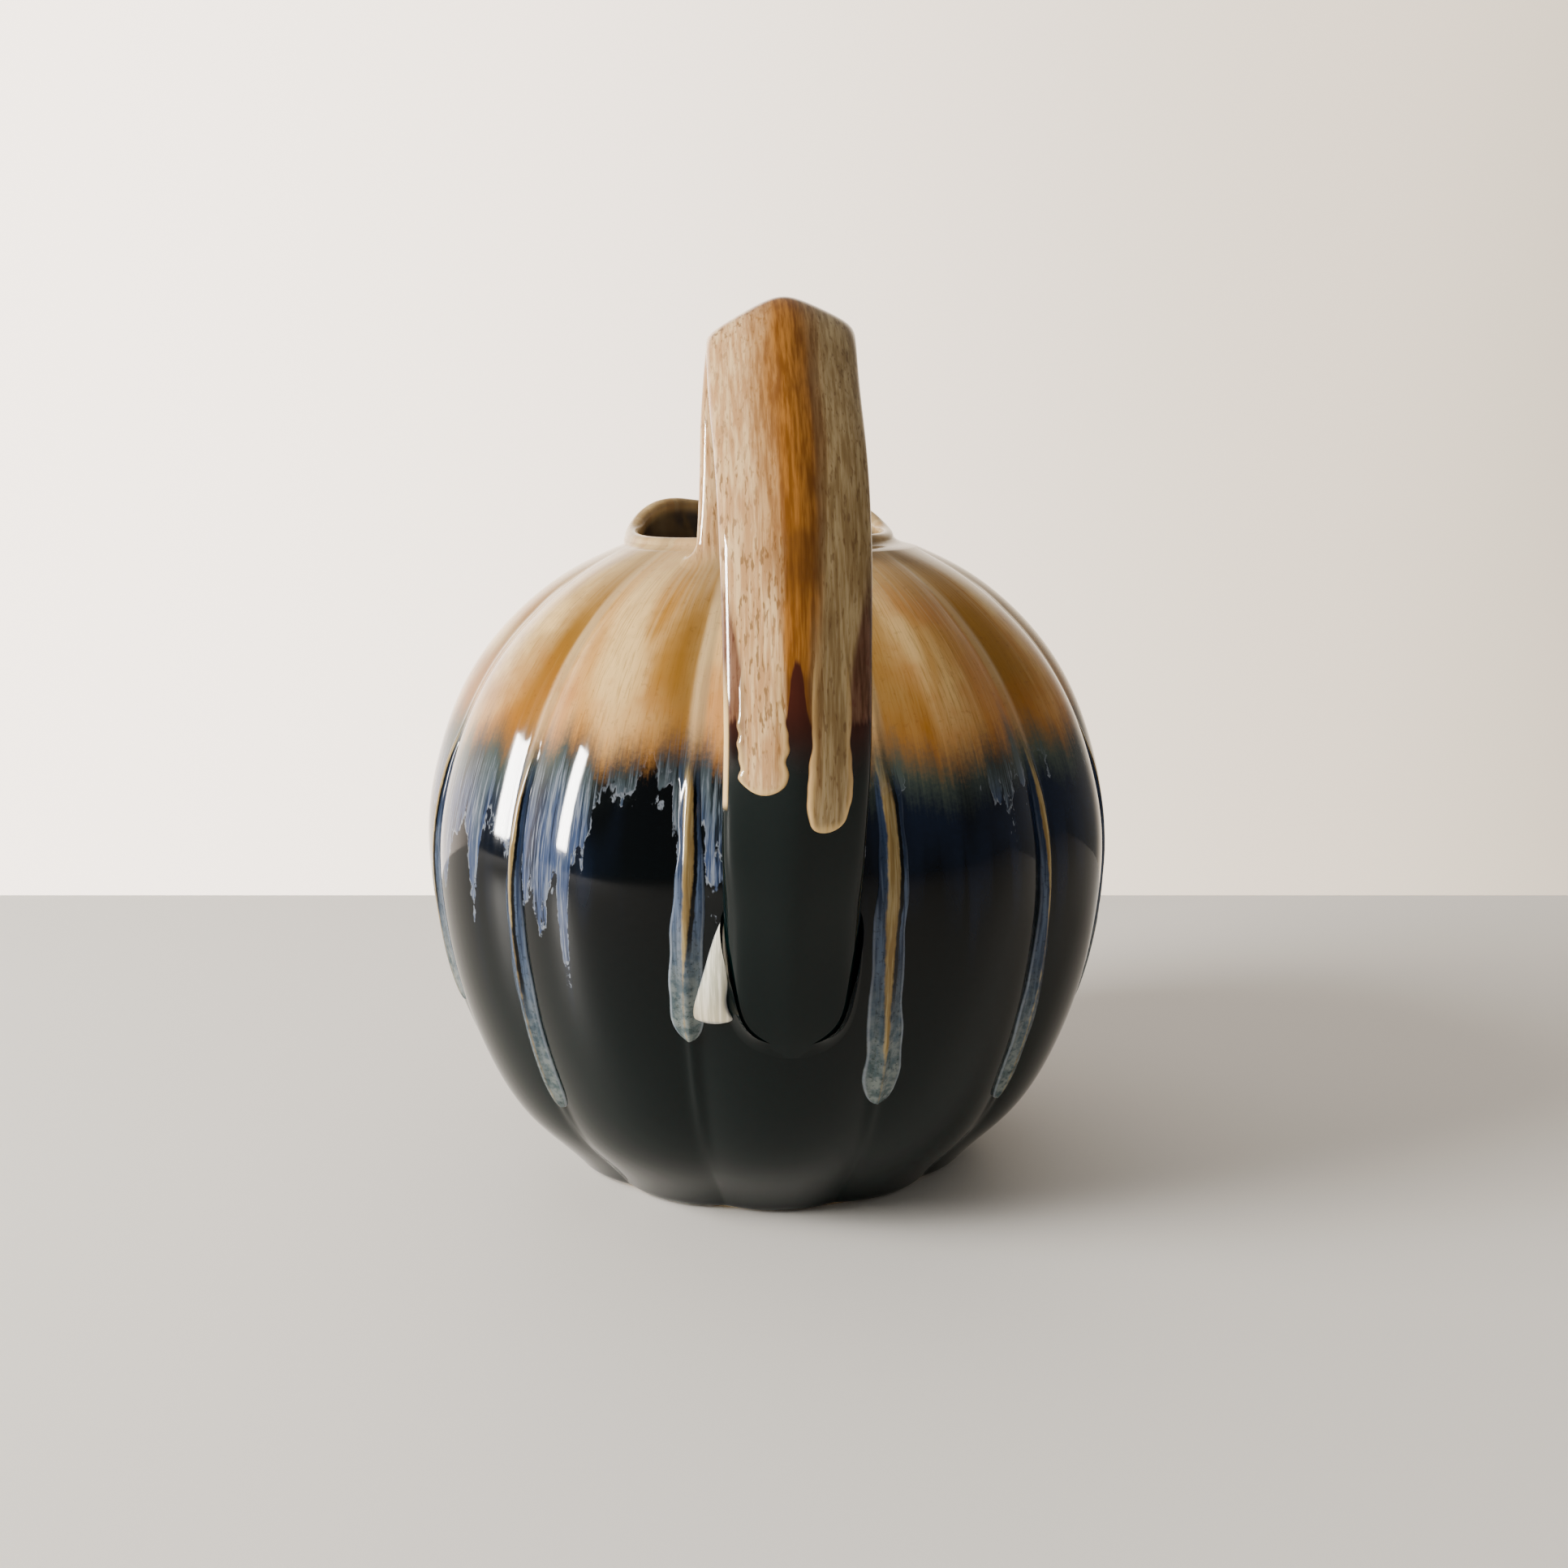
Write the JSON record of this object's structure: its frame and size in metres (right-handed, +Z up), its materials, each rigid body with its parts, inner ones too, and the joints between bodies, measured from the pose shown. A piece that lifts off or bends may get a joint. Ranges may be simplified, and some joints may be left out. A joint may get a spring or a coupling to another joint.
{
  "type": "jug",
  "caption": "Lobed melon-form stoneware jug with a low round mouth, a raised pouring side and one high strap handle, under a two-tone glaze that runs down its grooves.",
  "frame": {"origin": "on the jug's axis, on the flat underside of its foot", "axes": "+Z up along the belly's axis; -Y towards the handle; +Y towards the pouring side of the mouth; +X completes a right-handed frame"},
  "size_m": [0.1704, 0.1874, 0.2087],
  "materials": {
    "belly_glaze": "glossy green-black glaze on fired stoneware, opaque",
    "shoulder_glaze": "glossy ochre and cream glaze on fired stoneware, opaque",
    "handle_glaze": "glossy amber and cream glaze on fired stoneware, opaque",
    "run_glaze": "thick periwinkle and tan glaze that ran down the grooves, opaque",
    "drip_glaze": "thick speckled tan glaze drips, opaque",
    "cream_glaze": "thick streaky cream glaze, opaque",
    "bare_clay": "bare fired stoneware, matt and slightly gritty"
  },
  "bodies": {
    "root": {"body_shell": "belly_glaze", "foot_disc": "bare_clay", "mouth_collar": "shoulder_glaze", "handle": "handle_glaze", "upper_luting": "shoulder_glaze", "lower_luting": "belly_glaze", "groove_glaze_run_01": "run_glaze", "groove_glaze_run_02": "run_glaze", "groove_glaze_run_03": "run_glaze", "groove_glaze_run_04": "run_glaze", "groove_glaze_run_05": "run_glaze", "groove_glaze_run_06": "run_glaze", "groove_glaze_run_07": "run_glaze", "groove_glaze_run_08": "run_glaze", "groove_glaze_run_09": "run_glaze", "groove_glaze_run_10": "run_glaze", "groove_glaze_run_11": "run_glaze", "groove_glaze_run_12": "run_glaze", "handle_glaze_drip_left": "drip_glaze", "handle_glaze_drip_right": "drip_glaze", "cream_glaze_pool": "cream_glaze"}
  },
  "joints": []
}
